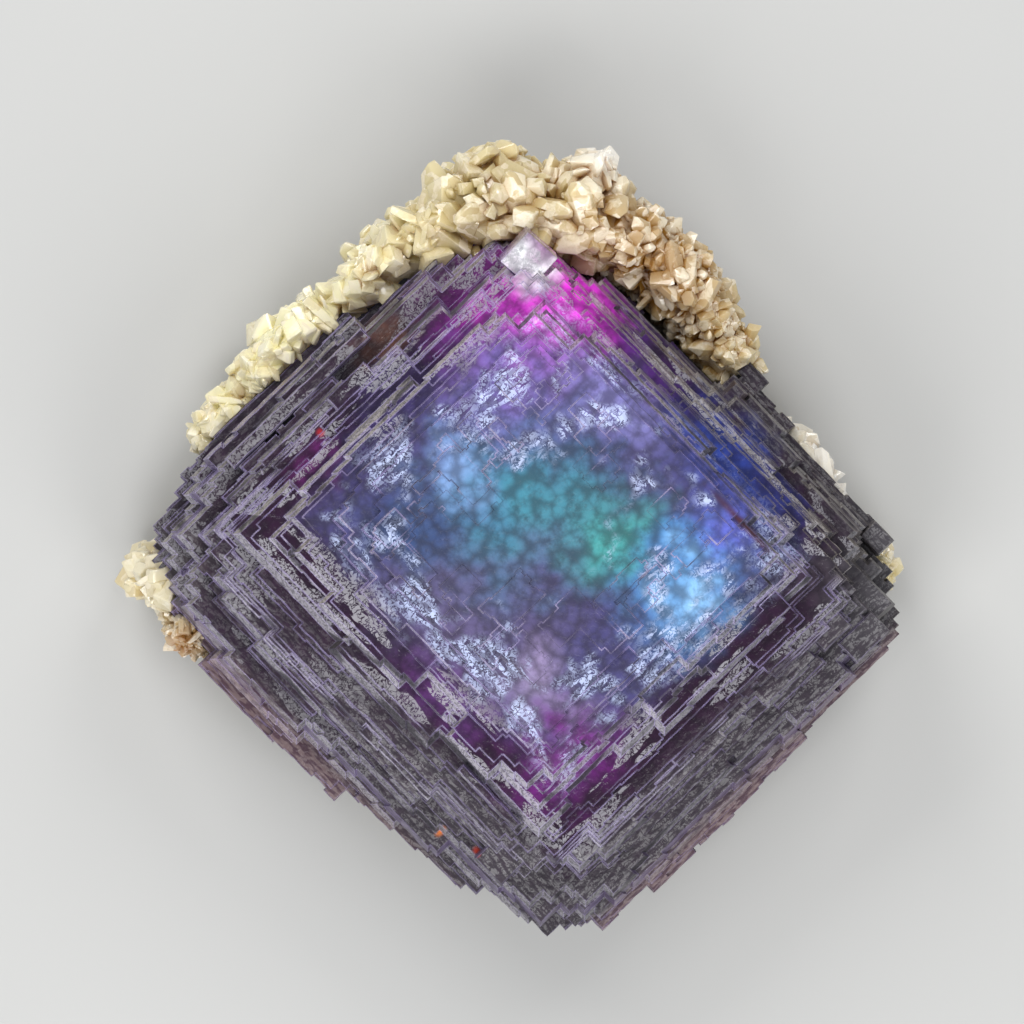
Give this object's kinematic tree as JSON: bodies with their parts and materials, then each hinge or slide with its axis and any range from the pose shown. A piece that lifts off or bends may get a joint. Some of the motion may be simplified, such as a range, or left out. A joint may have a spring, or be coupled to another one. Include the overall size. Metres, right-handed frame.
{
  "type": "fluorite and calcite specimen",
  "caption": "Stepped purple fluorite crystal on a crust of cream and honey calcite crystals, lying face up on a sawn base.",
  "frame": {"origin": "middle of the whole specimen's footprint, on the sawn underside of the calcite", "axes": "+Z out of the fluorite's stepped top face; X and Y along the crystal's edges, with the calcite bank at +X and +Y"},
  "size_m": [0.0964, 0.098, 0.0476],
  "materials": {
    "fluorite": "gloss",
    "calcite": "satin"
  },
  "bodies": {
    "root": {"fluorite_crystal": "fluorite", "calcite_matrix": "calcite"}
  },
  "joints": []
}
